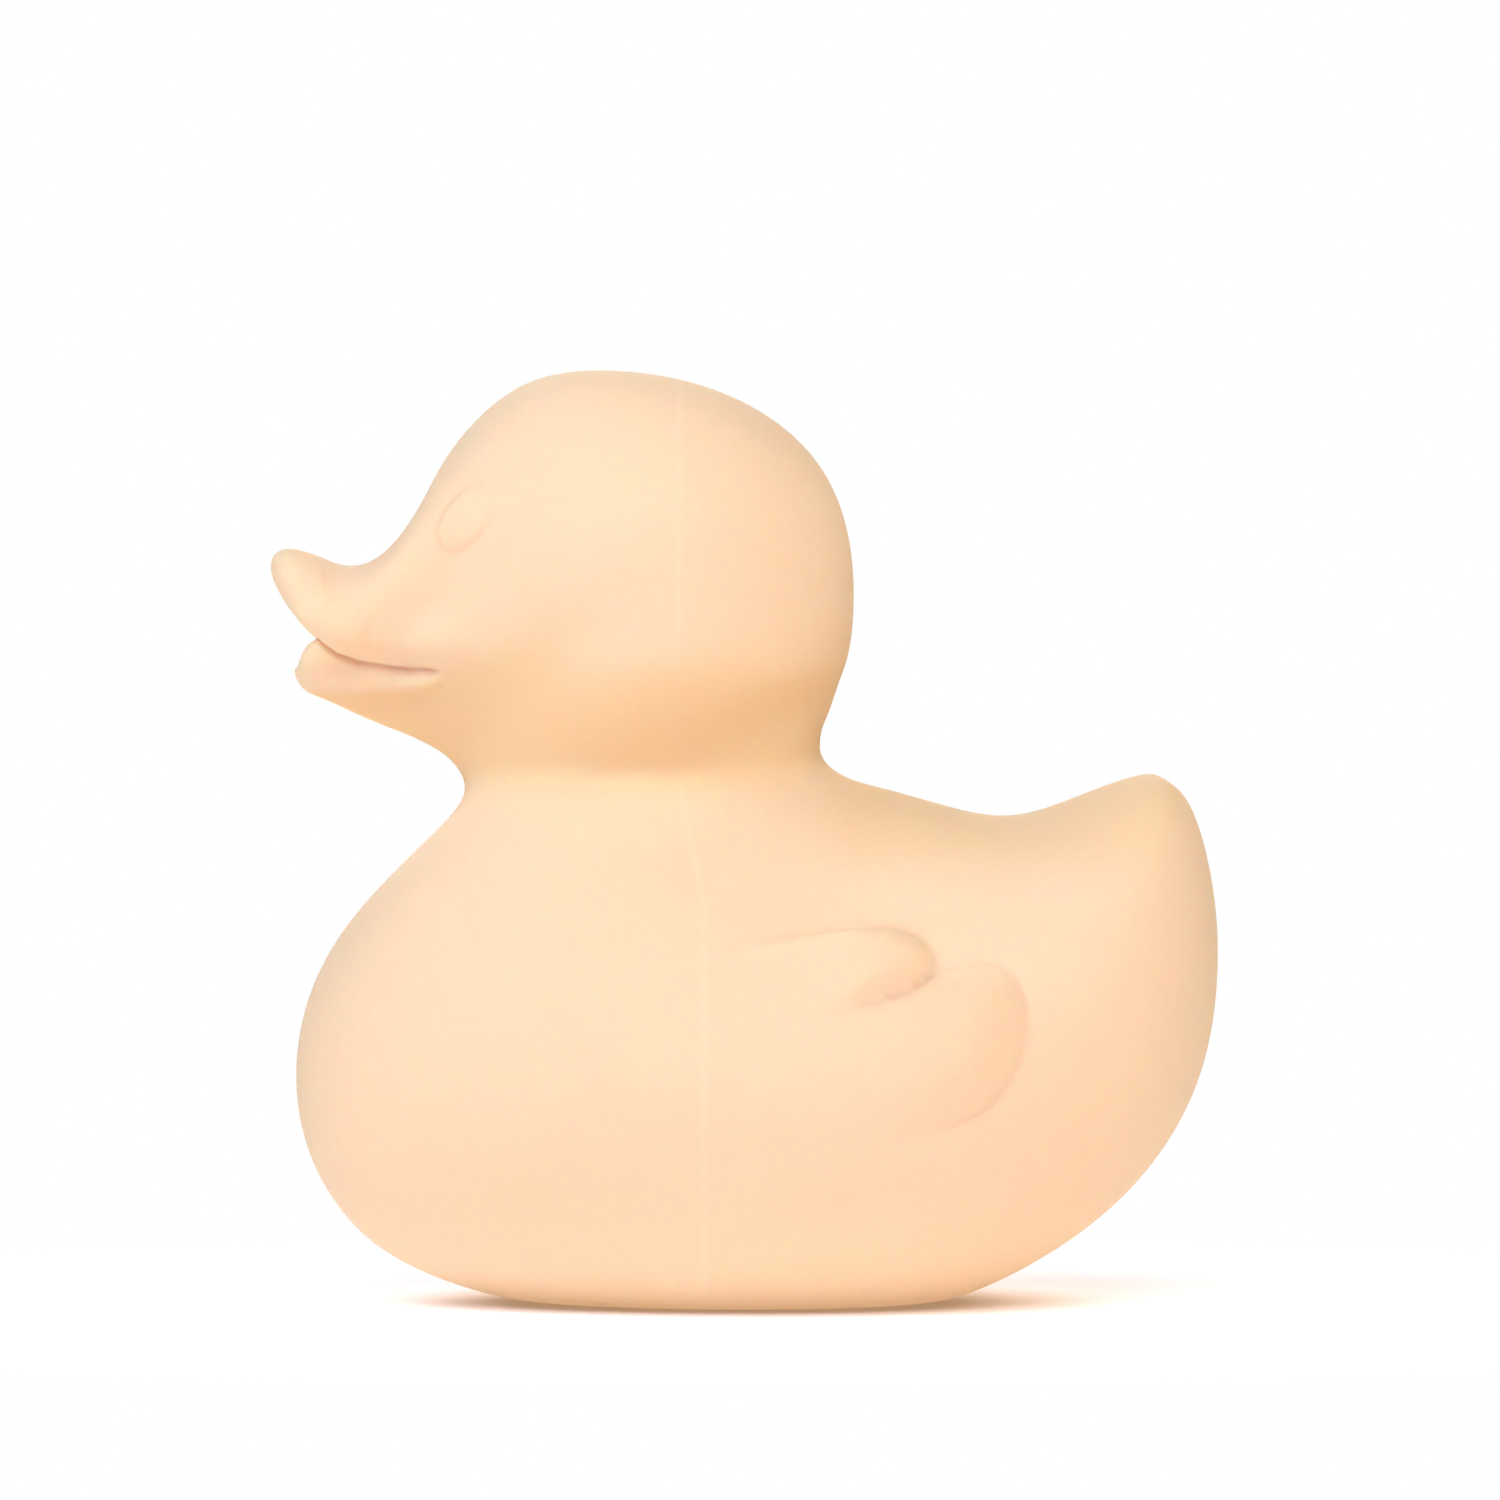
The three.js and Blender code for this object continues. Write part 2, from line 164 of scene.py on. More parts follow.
wing = {
    "box": [-24, 37, 12, 47, 12], "rise": 3.0, "frontRise": 0.4, "crease": 0.24,
    # feathers lose height toward the front: x at the top where that ends and starts, lean of that line
    "fadeFrom": -5, "fadeTo": 16, "slant": 0.84, "top": 41,
    "upperFeather": np.array([
        [-18.2, 32.5], [-16.2, 36.0], [-10.4, 38.4], [-4.1, 39.5], [2.0, 40.3], [8.0, 41.0], [13.0, 41.6],
        [16.5, 41.8], [19.3, 40.5], [20.4, 38.5], [19.4, 36.5], [17.2, 35.1], [14.2, 34.1], [8.0, 32.2],
        [0.0, 30.0], [-8.0, 28.6], [-15.0, 28.4]]),
    "lowerFeather": np.array([
        [-18.3, 30.5], [-15.0, 33.5], [-8.0, 35.5], [2.0, 36.4], [12.0, 36.6], [19.0, 37.1], [23.5, 37.8],
        [26.9, 38.0], [29.1, 36.4], [29.9, 33.2], [29.6, 29.6], [28.3, 26.2], [26.2, 23.4], [22.6, 21.5],
        [17.8, 20.2], [11.8, 19.4], [4.0, 19.2], [-4.9, 19.8], [-11.5, 21.6], [-16.2, 25.2]]),
    # width of the rounded edge: along the feather, at its rear end, and where it widens
    "upperEdge": [1.7, 5.0, 10, 19], "lowerEdge": [6.0, 8.0, 18, 27], "edgeOut": 0.2,
    # lower feather sinks where it comes out under the upper: share, reach, x where that starts and is full
    "dip": 0.6, "dipReach": 4.5, "dipFrom": 8, "dipTo": 17,
    "notch": 0.45,                                   # crease under the upper feather's tip
    # strengths of the painted shade in the crease under the upper feather's tip and along the rim
    "creaseReach": 0.9, "notchShade": 0.9, "rimShade": 0.4,
    "meltZ": [35, 37.5], "meltX": [20, 22],          # lower feather's top has hardly an edge
}


def pillow(distance, x, edge):
    # 1 - (1 - t)^2 from 0 at the edge to 1 once a full edge width inside
    width = edge[0] + (edge[1] - edge[0]) * smoothStep(edge[2], edge[3], x)
    return 1 - (1 - np.clip((distance + wing["edgeOut"]) / width, 0, 1)) ** 2


def wingRelief(x, z):
    # height = the higher of two feather pillows, both fading toward the front, less the creases
    upper = insideDistance(x, z, smoothLoop(wing["upperFeather"]))
    lower = insideDistance(x, z, smoothLoop(wing["lowerFeather"]))
    fade = smoothStep(wing["fadeFrom"], wing["fadeTo"], x + wing["slant"] * (z - wing["top"]))
    height = wing["frontRise"] + (wing["rise"] - wing["frontRise"]) * fade
    beside = np.minimum(upper, 0)
    rear = smoothStep(wing["dipFrom"], wing["dipTo"], x)
    under = height * (1 - wing["dip"] * rear * np.exp(-(beside / wing["dipReach"]) ** 2))
    topPillow = height * pillow(upper, x, wing["upperEdge"])
    lowPillow = under * pillow(lower, x, wing["lowerEdge"])
    outside = np.minimum(np.maximum(upper, lower), 0)
    rim = np.exp(-(outside / wing["creaseReach"]) ** 2) * fade
    tuck = rear * np.exp(-(beside / wing["creaseReach"]) ** 2) * (upper < 0) * (lower > 0)
    melted = smoothStep(*wing["meltZ"], z) * smoothStep(*wing["meltX"], x)
    # painted shade: darker in the crease under the upper feather's tip and along the rim, less on the lower
    # feather's top
    crease = wing["notchShade"] * tuck + wing["rimShade"] * rim * rear * (1 - melted)
    relief = np.maximum(topPillow, lowPillow) - wing["crease"] * rim * (outside < 0) - wing["notch"] * tuck
    return relief, crease


eye = {
    "box": [-60, -20, 76, 110, -1],
    "at": [-30.3, 87.0], "long": 4.4, "short": 2.8, "rise": 0.5, "lean": 0.85, "reach": 9,
    # the ring's tone is painted shade in the fine crease round the dome
    "crease": 0.07, "ringAt": 1.04, "ringWidth": 0.12, "ringShade": 0.55,   # fine crease round the dome
    "meltOver": 1.3, "round": 0.6, "meltRound": 0.9,   # how the dome melts toward the upper rear
}


def eyeRelief(place, normal):
    # oval dome of height (1 - r^2)^n, r the oval radius in the plane that touches the head, with a fine
    # crease round its front and foot; toward the upper rear n grows and the dome melts into the head
    off = place[..., [0, 2]] - np.array(eye["at"])
    nearest = np.argmin(np.where(place[..., 1] > 0, (off ** 2).sum(-1), np.inf))   # skin point under the eye
    centre = place.reshape(-1, 3)[nearest]
    out = normal.reshape(-1, 3)[nearest]
    slope = np.array([np.sin(eye["lean"]), 0, np.cos(eye["lean"])])
    shortAxis = np.cross(slope, out)
    shortAxis = shortAxis / np.linalg.norm(shortAxis)
    longAxis = np.cross(out, shortAxis)
    local = place - centre
    r = np.hypot(local @ shortAxis / eye["short"], local @ longAxis / eye["long"])
    r = np.where(np.linalg.norm(local, axis=-1) > eye["reach"], eye["reach"], r)
    melt = smoothStep(0, 1, (local[..., 0] + local[..., 2]) / (eye["meltOver"] * eye["long"]))
    dome = eye["rise"] * np.clip(1 - r ** 2, 0, 1) ** (eye["round"] + eye["meltRound"] * melt)
    ring = np.exp(-((r - eye["ringAt"]) / eye["ringWidth"]) ** 2) * (1 - melt)
    # the ring is also given back as painted shade in that crease
    return dome - eye["crease"] * ring, eye["ringShade"] * ring


mouth = {
    "box": [-60, -25, 58, 86, -1],
    "slit": np.array([[-47.0, 73.4], [-44.9, 71.9], [-42.6, 71.1], [-38.2, 70.4], [-33.1, 70.0]]),
    "slitDepth": 0.75, "slitAbove": 0.75, "slitBelow": 0.35, "endFrom": -34.8, "endTo": -32.6,
    # roll under the slit: x, drop and reach where it starts and ends, where it melts into the tip
    "lip": 1.2, "lipFrom": [-48, 2.4, 2.0], "lipTo": [-34, 0.9, 0.9], "lipFront": [-51, -46.5],
    # full upper bill: rise, height over the slit, reach up and down, x where it ends behind and in front
    "bill": 2.0, "billUp": 3.4, "billAbove": 3.4, "billBelow": 2.6,
    "billEnd": [-36, -26], "billFront": [-51, -46],
    # front of the bill seen from the side: height and x, open to a notch between the lips
    "front": np.array([
        [69.6, -56], [70.4, -49.8], [71.8, -49.1], [73.0, -48.2], [73.55, -47.1], [73.9, -47.6],
        [75.5, -49.2], [77.4, -50.8], [79.3, -52.1], [81.0, -53.2], [82.5, -54.8], [84, -58]]),
    # rounding at that line, none where it is clear of the bill; its x past its ends; how far back it acts
    "frontSoft": 0.35, "frontClear": -55, "frontOff": -60, "frontBack": -40,
}


def mouthRelief(x, z):
    # groove along the slit: a half cosine, wide above where the upper bill rolls in, short below at
    # the lip's edge; the lower lip is a bell-shaped roll under it, the upper bill a broader one above
    q = z - np.interp(x, mouth["slit"][:, 0], mouth["slit"][:, 1])
    end = 1 - smoothStep(mouth["endFrom"], mouth["endTo"], x)
    reach = np.where(q > 0, mouth["slitAbove"], mouth["slitBelow"])
    cut = end * (0.5 + 0.5 * np.cos(np.pi * np.clip(np.abs(q) / reach, 0, 1)))
    ends, drops, reaches = zip(mouth["lipFrom"], mouth["lipTo"])
    roll = end * np.exp(-((q + np.interp(x, ends, drops)) / np.interp(x, ends, reaches)) ** 2)
    roll = roll * smoothStep(*mouth["lipFront"], x)
    offBill = q - mouth["billUp"]
    full = np.exp(-(offBill / np.where(offBill > 0, mouth["billAbove"], mouth["billBelow"])) ** 2)
    full = full * (1 - smoothStep(*mouth["billEnd"], x)) * smoothStep(*mouth["billFront"], x)
    # the cut also comes back as painted shade in the slit
    return mouth["lip"] * roll + mouth["bill"] * full - mouth["slitDepth"] * cut, cut


def openBill(grid):
    # anything in front of the notch line is drawn back to it: the soft maximum of x and the line's x,
    # line + (gap + sqrt(gap^2 + 4 soft^2)) / 2
    x, z = grid[..., 0], grid[..., 2]
    off = mouth["frontOff"]
    line = np.interp(z, mouth["front"][:, 0], mouth["front"][:, 1], left=off, right=off)
    gap = x - line
    soft = mouth["frontSoft"] * (line > mouth["frontClear"])
    tip = x < mouth["frontBack"]
    drawn = np.clip(-gap, 0, 1) * tip
    grid[..., 0] = np.where(tip, line + 0.5 * (gap + np.sqrt(gap ** 2 + 4 * soft ** 2)), x)
    # how far points were drawn back is given out as painted shade in the notch between the lips
    return drawn


# where the rounding over starts, is full, wanes and ends along x and z, and off the middle
billRoot = {"x": [-46.5, -43, -36.5, -33.5], "z": [75, 79, 86, 90], "side": [1.5, 4.5], "passes": 220}


def softRoot(grid):
    # the bill's root is rounded over, clear of its outline: points go to the mean of their four neighbours
    x, y, z = np.moveaxis(grid, -1, 0)
    part = smoothStep(*billRoot["x"][:2], x) * (1 - smoothStep(*billRoot["x"][2:], x))
    part = part * smoothStep(*billRoot["z"][:2], z) * (1 - smoothStep(*billRoot["z"][2:], z))
    part = part * smoothStep(*billRoot["side"], np.abs(y))
    rows = np.flatnonzero(part.max(1) > 0)
    band = slice(rows[0] - 1, rows[-1] + 2)
    share = part[band][..., None]
    piece = grid[band]
    for again in range(billRoot["passes"]):
        total = sum(np.roll(piece, step, axis) for axis in (1, 0) for step in (1, -1))
        piece = piece + share * (total / 4 - piece)
    grid[band] = piece


neck = {
    # fold under the head: x and z of its line, x and depth of the pinch
    "line": np.array([[-31, 59.2], [-25, 58.9], [-16, 58.6], [-5, 59.0], [6, 60.2], [11, 62.4]]),
    "pinch": np.array([[-30, 0.35], [-20, 0.35], [-8, 0.27], [10, 0.25]]),
    "above": 12.5, "below": 7, "soft": 1.3,
}


def neckPinch(x, z):
    # half widths drawn in along the neck line by pinch * (1 - q / reach)^2, q the height off the line,
    # rounded near it: long above, where the head curves under, short below, where the shoulder starts
    q = z - np.interp(x, neck["line"][:, 0], neck["line"][:, 1])
    reach = np.where(q > 0, neck["above"], neck["below"])
    away = np.sqrt(q ** 2 + neck["soft"] ** 2) - neck["soft"]
    depth = np.interp(x, neck["pinch"][:, 0], neck["pinch"][:, 1])
    return 1 - depth * np.clip(1 - away / reach, 0, 1) ** 2


# painted shade: a deeper, more orange tone in the fold under the head, over the head's underside where it
# faces down, and in the up-facing hollow of the back
paintedShade = {
    "above": 16, "below": 3.6,   # reach of the warmer tone in the fold under the head
    # it stays under a line along the mouth and up over the cheek: x, z and softness of its edge
    "edge": np.array([[-49, 67.8, 1.6], [-42.6, 68.0, 1.6], [-36, 68.4, 2.2], [-30, 70.5, 5], [-20, 76, 9]]),
    "foldTop": 0.5, "underFull": 0.5,   # fade above the line, and how far down the head faces for all of it
    # share of it in the hollow of the back, and where that starts and is full: facing up, along x, along z
    "back": 0.65, "backUp": [0.35, 0.9], "backX": [5, 15], "backZ": [46, 52],
}


def paintedShadeMask(x, z, facing):
    # painted shade: 1 in the fold of the neck, fading evenly upward over the underside of the head and
    # quickly downward, and a share of it where the back faces up behind the neck
    q = z - np.interp(x, neck["line"][:, 0], neck["line"][:, 1])
    lowFade = smoothStep(-paintedShade["below"], paintedShade["foldTop"], q)
    fold = np.where(q > 0, np.clip(1 - q / paintedShade["above"], 0, 1), lowFade)
    under = smoothStep(0, paintedShade["underFull"], -facing[..., 2]) * (q > 0)
    top = np.interp(x, paintedShade["edge"][:, 0], paintedShade["edge"][:, 1])
    soft = np.interp(x, paintedShade["edge"][:, 0], paintedShade["edge"][:, 2])
    below = 1 - smoothStep(0, 1, (z - top) / soft + 0.5)
    hollow = paintedShade["back"] * smoothStep(*paintedShade["backUp"], facing[..., 2])
    hollow = hollow * smoothStep(*paintedShade["backX"], x) * smoothStep(*paintedShade["backZ"], z)
    return np.maximum(below * np.maximum(fold, under), hollow)


def duckSkin():
    # ribs carried from tail to bill, sides swollen or sunk along their normals by the reliefs
    table = np.array(skin["rowsPerRib"], float)
    fine = np.linspace(0, len(skin["ribs"]) - 1, 4000)
    filled = np.cumsum(np.interp(fine, table[:, 0], table[:, 1]))
    filled = (filled - filled[0]) / (filled[-1] - filled[0])
    stations = np.interp(np.linspace(0, 1, skin["rows"] + 1), filled, fine)
    turn = np.linspace(0, 2 * np.pi, skin["columns"], endpoint=False)
    grid = ribGrid(skin["ribs"], stations, turn + skin["sideBias"] / 2 * np.sin(2 * turn))
    grid[..., 1] *= neckPinch(grid[..., 0], grid[..., 2])
    normal = gridNormals(grid)
    flip = np.array([1, -1, 1])
    right = grid[..., 1:2] >= 0
    place = np.where(right, grid, grid * flip)       # both sides worked as one
    facing = np.where(right, normal, normal * flip)
    x, z = place[..., 0], place[..., 2]
    rise = np.zeros(x.shape)
    crease = np.zeros(x.shape)
    near = within(place, wing["box"])
    rise[near], crease[near] = wingRelief(x[near], z[near])
    dome, ring = eyeRelief(place, facing)
    near = within(place, eye["box"])
    rise[near] += dome[near]
    crease[near] = np.maximum(crease, ring)[near]
    near = within(place, mouth["box"])
    sunk, cut = mouthRelief(x[near], z[near])
    rise[near] += sunk
    crease[near] = np.maximum(crease[near], cut)
    grid = grid + normal * rise[..., None]
    softRoot(grid)
    crease = np.maximum(crease, openBill(grid))
    level = skin["sitRound"]                         # soft floor: (z + r)^2 / 4r within r of the ground
    height = grid[..., 2]
    sunken = np.where(height < -level, 0, (height + level) ** 2 / (4 * level))
    grid[..., 2] = np.where(height > level, height, sunken)
    # both layers mark painted shade: crease in the creases of wing, eye, slit and notch, the other under the
    # head and in the back's hollow
    return grid, {"crease": crease, "paintedShade": paintedShadeMask(x, z, facing)}


def gridMesh(name, grid, layers):
    # rings between two pole points, quads between rings, fans at the poles
    rows, columns = grid.shape[0] - 1, grid.shape[1]
    verts = np.vstack([grid[0, :1], grid[1:rows].reshape(-1, 3), grid[rows, :1]]) * mm
    ring = np.arange(columns)
    after = np.roll(ring, -1)
    base = (1 + columns * np.arange(rows - 2))[:, None]
    quads = np.stack([base + ring, base + after, base + columns + after, base + columns + ring], -1)
    quads = quads.reshape(-1, 4)
    last = len(verts) - 1
    tail = np.stack([np.zeros(columns, int), 1 + after, 1 + ring], -1)
    tip = np.stack([np.full(columns, last), last - columns + ring, last - columns + after], -1)
    mesh = bpy.data.meshes.new(name)
    mesh.from_pydata(verts.tolist(), [], tail.tolist() + quads.tolist() + tip.tolist())
    mesh.polygons.foreach_set("use_smooth", np.ones(len(mesh.polygons), bool))
    for key, values in layers.items():
        layer = mesh.attributes.new(key, "FLOAT", "POINT")
        layer.data.foreach_set("value", np.concatenate([[0], values[1:rows].ravel(), [0]]))
    mesh.update()
    piece = bpy.data.objects.new(name, mesh)
    bpy.context.scene.collection.objects.link(piece)
    return piece


duck = gridMesh("duckSkin", *duckSkin())
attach(duck, "root")
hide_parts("duck")
print("duck: skin of", len(duck.data.vertices), "points")


# natural rubber

rubber = {
    "pale": (0.89, 0.66, 0.472, 1), "deep": (0.88, 0.645, 0.455, 1),
    # the deeper orange tone on the next line is painted shade, laid under the head and in the hollow of the
    # back
    "paintedShade": (0.855, 0.60, 0.35, 1), "paintedShadeAmount": 0.82,
    # painted shade: the dark tan mixed in along the creases of the wing, the eye's ring, the slit and the
    # notch
    "creaseShade": (0.62, 0.30, 0.12, 1), "creaseShadeAmount": 0.22,
    "roughness": [0.6, 0.72], "specular": 0.08,
    "subsurface": 0.55, "subsurfaceReach": 0.007, "subsurfaceRadius": (1.0, 0.38, 0.15),
    "cloudScale": 38.0, "grainScale": 1400.0, "grainHeight": 0.00004, "bumpStrength": 0.5,
}


# the seam's lighter tone is a painted highlight on the mould's parting-line ridge; the ridge itself is a
# bump
seam = {   # parting line of the mould: x and z of its lower and upper stretch, in metres
    "low": (-0.0042, 0.0445), "high": (-0.0070, 0.058), "halfWidth": 0.0006, "height": 0.00003,
    "tone": (0.92, 0.73, 0.57, 1), "amount": 0.26,
}


def addNode(tree, kind, inputs=None, **settings):
    node = tree.nodes.new(kind)
    for key, value in settings.items():
        setattr(node, key, value)
    for key, value in (inputs or {}).items():
        node.inputs[key].default_value = value
    return node


def rubberMaterial():
    material = bpy.data.materials.new("naturalRubber")
    material.use_nodes = True
    tree = material.node_tree
    link = tree.links.new
    shader = tree.nodes["Principled BSDF"]
    where = addNode(tree, "ShaderNodeTexCoord").outputs["Object"]
    cloud = addNode(tree, "ShaderNodeTexNoise", {
        "Scale": rubber["cloudScale"], "Detail": 4.0, "Roughness": 0.55})
    link(where, cloud.inputs["Vector"])
    tone = addNode(tree, "ShaderNodeMix", {"A": rubber["pale"], "B": rubber["deep"]}, data_type="RGBA")
    spread = addNode(tree, "ShaderNodeMapRange", {"From Min": 0.35, "From Max": 0.65})
    link(cloud.outputs["Fac"], spread.inputs["Value"])
    link(spread.outputs["Result"], tone.inputs["Factor"])
    axes = addNode(tree, "ShaderNodeSeparateXYZ")   # line left by the mould, round the duck
    link(where, axes.inputs[0])
    place = addNode(tree, "ShaderNodeMapRange", {
        "From Min": seam["low"][1], "From Max": seam["high"][1],
        "To Min": seam["low"][0], "To Max": seam["high"][0]})
    link(axes.outputs["Z"], place.inputs["Value"])
    offset = addNode(tree, "ShaderNodeMath", operation="SUBTRACT")
    link(axes.outputs["X"], offset.inputs[0])
    link(place.outputs["Result"], offset.inputs[1])
    away = addNode(tree, "ShaderNodeMath", operation="ABSOLUTE")
    link(offset.outputs[0], away.inputs[0])
    line = addNode(tree, "ShaderNodeMapRange", {
        "From Max": seam["halfWidth"], "To Min": 1.0, "To Max": 0.0}, interpolation_type="SMOOTHSTEP")
    link(away.outputs[0], line.inputs["Value"])
    # painted highlight: the lighter tone along the parting line
    seamHighlightShare = addNode(tree, "ShaderNodeMath", {1: seam["amount"]}, operation="MULTIPLY")
    link(line.outputs["Result"], seamHighlightShare.inputs[0])
    seamHighlight = addNode(tree, "ShaderNodeMix", {"B": seam["tone"]}, data_type="RGBA")
    link(seamHighlightShare.outputs[0], seamHighlight.inputs["Factor"])
    link(tone.outputs["Result"], seamHighlight.inputs["A"])
    # painted shade: the deeper orange tone mixed in under the head and in the back's hollow
    paintedShadeLayer = addNode(tree, "ShaderNodeAttribute", attribute_name="paintedShade")
    depth = addNode(tree, "ShaderNodeMath", {1: rubber["paintedShadeAmount"]}, operation="MULTIPLY")
    link(paintedShadeLayer.outputs["Fac"], depth.inputs[0])
    fold = addNode(tree, "ShaderNodeMix", {"B": rubber["paintedShade"]}, data_type="RGBA")
    link(depth.outputs[0], fold.inputs["Factor"])
    link(seamHighlight.outputs["Result"], fold.inputs["A"])
    # painted shade along the creases
    crease = addNode(tree, "ShaderNodeAttribute", attribute_name="crease")
    amount = addNode(tree, "ShaderNodeMath", {1: rubber["creaseShadeAmount"]}, operation="MULTIPLY")
    link(crease.outputs["Fac"], amount.inputs[0])
    shade = addNode(tree, "ShaderNodeMix", {"B": rubber["creaseShade"]}, data_type="RGBA")
    link(amount.outputs[0], shade.inputs["Factor"])
    link(fold.outputs["Result"], shade.inputs["A"])
    link(shade.outputs["Result"], shader.inputs["Base Color"])
    dull, duller = rubber["roughness"]
    polish = addNode(tree, "ShaderNodeMapRange", {
        "From Min": 0.3, "From Max": 0.7, "To Min": dull, "To Max": duller})
    link(cloud.outputs["Fac"], polish.inputs["Value"])
    link(polish.outputs["Result"], shader.inputs["Roughness"])
    grain = addNode(tree, "ShaderNodeTexNoise", {"Scale": rubber["grainScale"], "Detail": 2.0})
    link(where, grain.inputs["Vector"])
    bump = addNode(tree, "ShaderNodeBump", {
        "Strength": rubber["bumpStrength"], "Distance": rubber["grainHeight"]})
    link(grain.outputs["Fac"], bump.inputs["Height"])
    ridge = addNode(tree, "ShaderNodeBump", {
        "Strength": rubber["bumpStrength"], "Distance": seam["height"]})
    link(line.outputs["Result"], ridge.inputs["Height"])
    link(bump.outputs["Normal"], ridge.inputs["Normal"])
    link(ridge.outputs["Normal"], shader.inputs["Normal"])
    shader.inputs["Subsurface Weight"].default_value = rubber["subsurface"]
    shader.inputs["Subsurface Radius"].default_value = rubber["subsurfaceRadius"]
    shader.inputs["Subsurface Scale"].default_value = rubber["subsurfaceReach"]
    shader.inputs["Specular IOR Level"].default_value = rubber["specular"]
    return material


duck.data.materials.append(rubberMaterial())
print("rubber: material set")


# floor, light and camera

studio = {
    "lamps": [
        # name, degrees round from the camera side (+ toward the beak), degrees up, power, colour
        ["left", 70, 38, 6.2, (0.93, 0.96, 0.94)],
        ["front", 0, 38, 8.9, (0.9, 0.94, 1.02)],
        ["right", -70, 38, 4.8, (1.0, 0.8, 0.46)],
        ["top", 0, 80, 1.0, (0.91, 0.93, 1.0)],
        ["rear", 180, 14, 7.5, (1.0, 0.9, 0.77)],
    ],
    "lampAway": 1.2, "lampWidth": 0.8,
    "paper": (0.93, 0.91, 0.95, 1), "nearFloor": 0.045, "farFloor": 0.14,
    "floorGlow": 0.31, "bounceColour": (1.0, 0.92, 0.74, 1),     # light given back by the floor
    "shownGlow": 0.45, "shownColour": (1.0, 0.97, 1.1, 1),       # the same as it is seen
    # painted contact shadow: the floor as seen loses its glow in this oval under the duck
    "foot": (0.0235, 0.0192), "contactShadowFade": 2.0,                   # oval under the duck that is seen dark
    "floorHalf": 3, "world": 0.03, "lightAim": (0, 0, 0.05),
    "camera": (0.0007, -1.0, 0.0613), "aim": (0.0007, 0, 0.0613), "lens": 216,
}


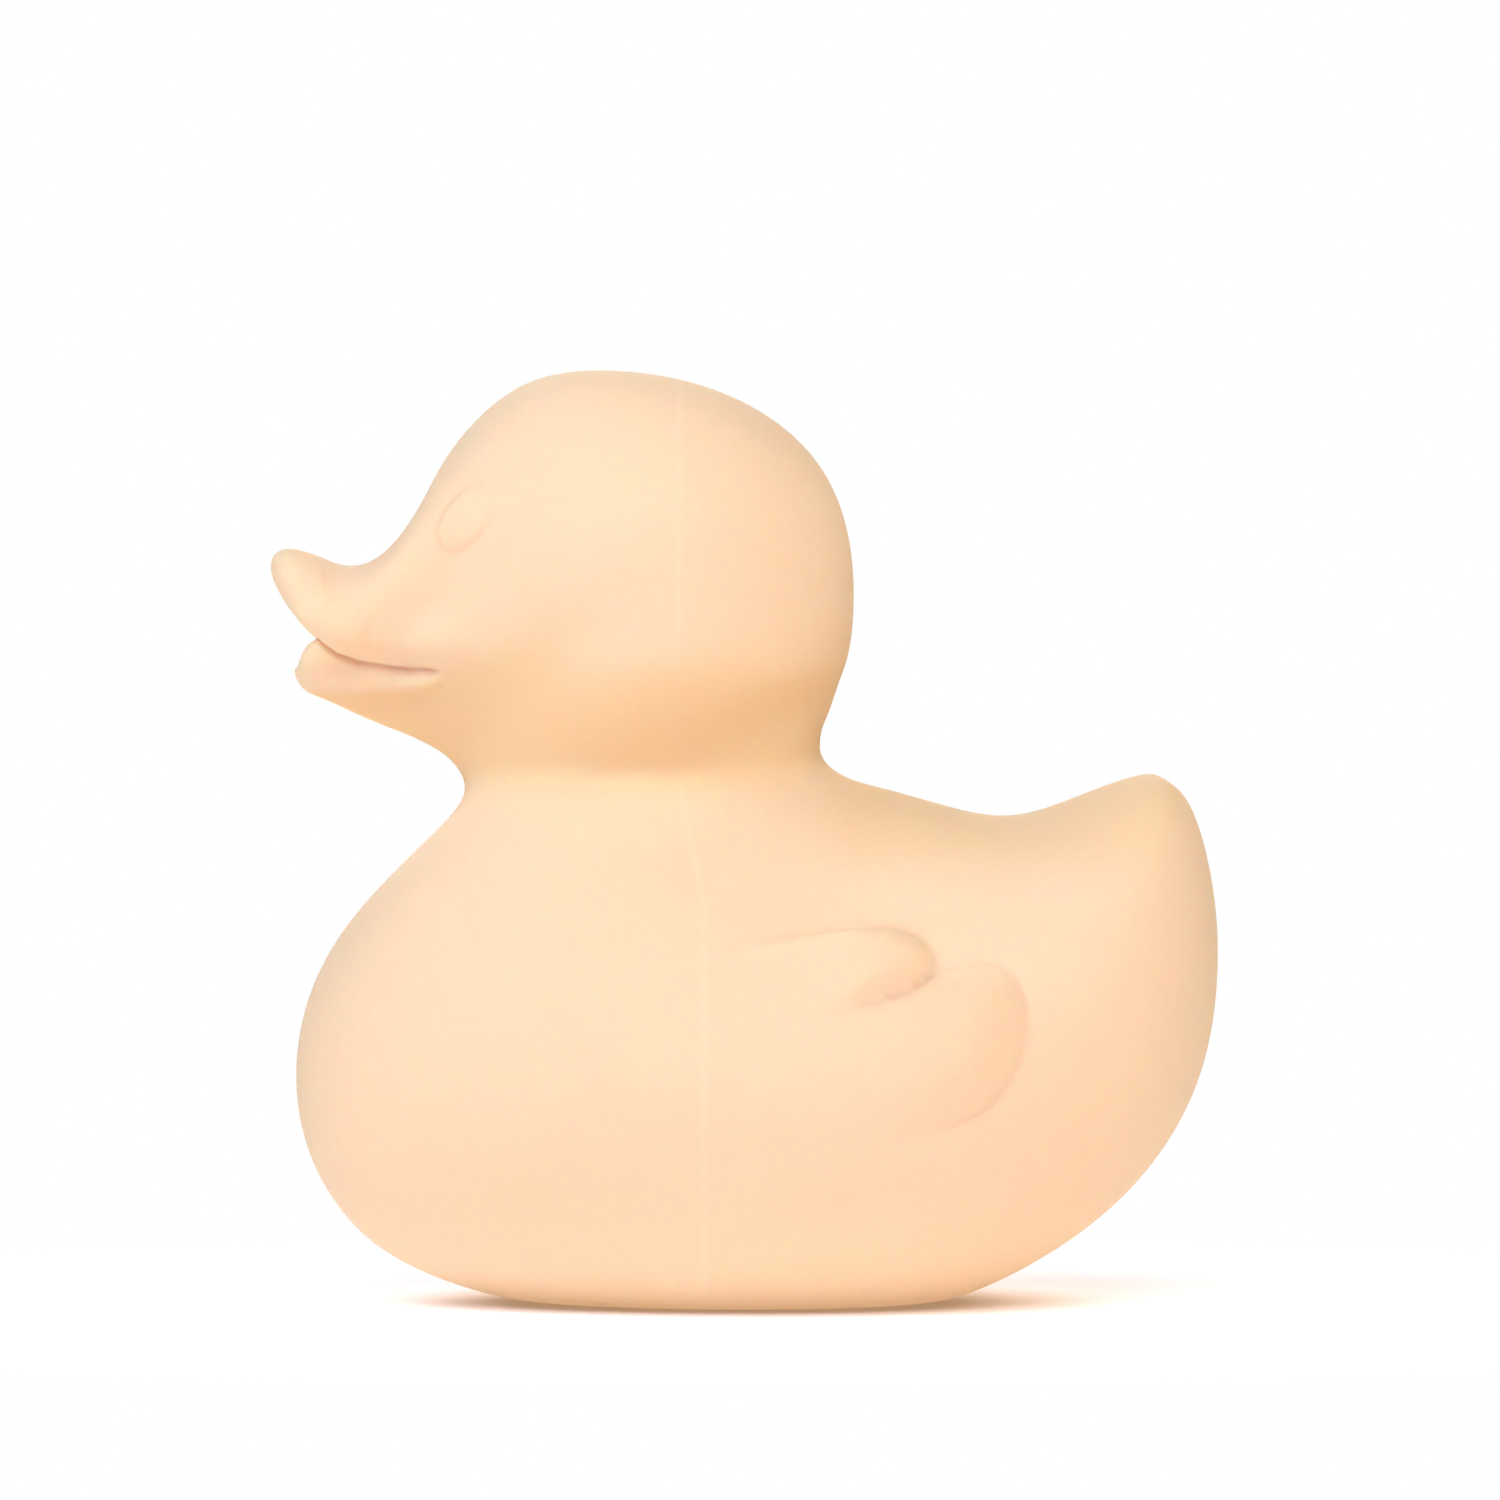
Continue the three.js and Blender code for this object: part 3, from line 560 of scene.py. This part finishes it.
def studioFloor():
    # level sheet, pale and faintly glowing; seen directly, it turns plain white away from the duck, and its
    # seen glow is cut in an oval under the duck, a painted contact shadow
    material = bpy.data.materials.new("studioWhite")
    material.use_nodes = True
    tree = material.node_tree
    link = tree.links.new
    tree.nodes.remove(tree.nodes["Principled BSDF"])
    paper = addNode(tree, "ShaderNodeBsdfDiffuse", {"Color": studio["paper"]})
    where = addNode(tree, "ShaderNodeTexCoord").outputs["Object"]
    rays = addNode(tree, "ShaderNodeLightPath")
    seen = addNode(tree, "ShaderNodeMath", operation="MAXIMUM")
    link(rays.outputs["Is Camera Ray"], seen.inputs[0])
    link(rays.outputs["Is Glossy Ray"], seen.inputs[1])
    perShadowOval = (1 / studio["foot"][0], 1 / studio["foot"][1], 0)
    oval = addNode(tree, "ShaderNodeVectorMath", {1: perShadowOval}, operation="MULTIPLY")
    link(where, oval.inputs[0])
    shadowOvalRadius = addNode(tree, "ShaderNodeVectorMath", operation="LENGTH")
    link(oval.outputs["Vector"], shadowOvalRadius.inputs[0])
    # painted contact shadow: no seen glow inside the oval, full glow past its fade
    shown = addNode(tree, "ShaderNodeMapRange", {
        "From Min": 1.0, "From Max": studio["contactShadowFade"],
        "To Max": studio["shownGlow"]}, interpolation_type="SMOOTHSTEP")
    link(shadowOvalRadius.outputs["Value"], shown.inputs["Value"])
    strength = addNode(tree, "ShaderNodeMix", {"A": studio["floorGlow"]}, data_type="FLOAT")
    link(seen.outputs[0], strength.inputs["Factor"])
    link(shown.outputs["Result"], strength.inputs["B"])
    colour = addNode(tree, "ShaderNodeMix", {
        "A": studio["bounceColour"], "B": studio["shownColour"]}, data_type="RGBA")
    link(seen.outputs[0], colour.inputs["Factor"])
    bounce = addNode(tree, "ShaderNodeEmission")
    link(colour.outputs["Result"], bounce.inputs["Color"])
    link(strength.outputs["Result"], bounce.inputs["Strength"])
    near = addNode(tree, "ShaderNodeAddShader")
    link(paper.outputs[0], near.inputs[0])
    link(bounce.outputs[0], near.inputs[1])
    white = addNode(tree, "ShaderNodeEmission", {"Strength": 1.0})
    length = addNode(tree, "ShaderNodeVectorMath", operation="LENGTH")
    link(where, length.inputs[0])
    far = addNode(tree, "ShaderNodeMapRange", {
        "From Min": studio["nearFloor"], "From Max": studio["farFloor"]}, interpolation_type="SMOOTHSTEP")
    link(length.outputs["Value"], far.inputs["Value"])
    whiten = addNode(tree, "ShaderNodeMath", operation="MULTIPLY")
    link(far.outputs["Result"], whiten.inputs[0])
    link(seen.outputs[0], whiten.inputs[1])
    blend = addNode(tree, "ShaderNodeMixShader")
    link(whiten.outputs[0], blend.inputs[0])
    link(near.outputs[0], blend.inputs[1])
    link(white.outputs[0], blend.inputs[2])
    link(blend.outputs[0], tree.nodes["Material Output"].inputs["Surface"])
    mesh = bpy.data.meshes.new("floor")
    half = studio["floorHalf"]
    corners = [(-half, -half, 0), (half, -half, 0), (half, half, 0), (-half, half, 0)]
    mesh.from_pydata(corners, [], [(0, 1, 2, 3)])
    mesh.materials.append(material)
    floor = bpy.data.objects.new("floor", mesh)
    bpy.context.scene.collection.objects.link(floor)


def studioLight():
    aim = Vector(studio["lightAim"])
    for name, bearing, up, power, colour in studio["lamps"]:
        lamp = bpy.data.lights.new(name, "AREA")
        lamp.shape = "DISK"
        lamp.size = studio["lampWidth"]
        lamp.energy = power
        lamp.color = colour
        around, rise = np.radians([bearing, up])
        level = np.cos(rise)
        toward = Vector((-np.sin(around) * level, -np.cos(around) * level, np.sin(rise)))
        holder = bpy.data.objects.new(name, lamp)
        holder.location = aim + toward * studio["lampAway"]
        holder.rotation_euler = (-toward).to_track_quat("-Z", "Y").to_euler()
        bpy.context.scene.collection.objects.link(holder)
    world = bpy.data.worlds.new("studio")
    world.use_nodes = True
    tree = world.node_tree
    link = tree.links.new
    rays = addNode(tree, "ShaderNodeLightPath")
    seen = addNode(tree, "ShaderNodeMath", operation="MAXIMUM")
    link(rays.outputs["Is Camera Ray"], seen.inputs[0])
    link(rays.outputs["Is Transmission Ray"], seen.inputs[1])
    level = addNode(tree, "ShaderNodeMapRange", {"To Min": studio["world"], "To Max": 1.0})
    link(seen.outputs[0], level.inputs["Value"])
    backdrop = tree.nodes["Background"]
    backdrop.inputs["Color"].default_value = (1, 1, 1, 1)
    link(level.outputs["Result"], backdrop.inputs["Strength"])
    bpy.context.scene.world = world


def studioCamera():
    # level, square on to the side, far enough back that the side view is nearly flat
    lens = bpy.data.cameras.new("camera")
    lens.lens = studio["lens"]
    lens.sensor_width = 36
    lens.clip_start = 0.01
    camera = bpy.data.objects.new("camera", lens)
    camera.location = studio["camera"]
    toward = Vector(studio["aim"]) - Vector(studio["camera"])
    camera.rotation_euler = toward.to_track_quat("-Z", "Y").to_euler()
    bpy.context.scene.collection.objects.link(camera)
    bpy.context.scene.camera = camera


studioFloor()
studioLight()
studioCamera()
bpy.context.scene.view_settings.view_transform = "Standard"
print("studio: floor, lamps and camera set")
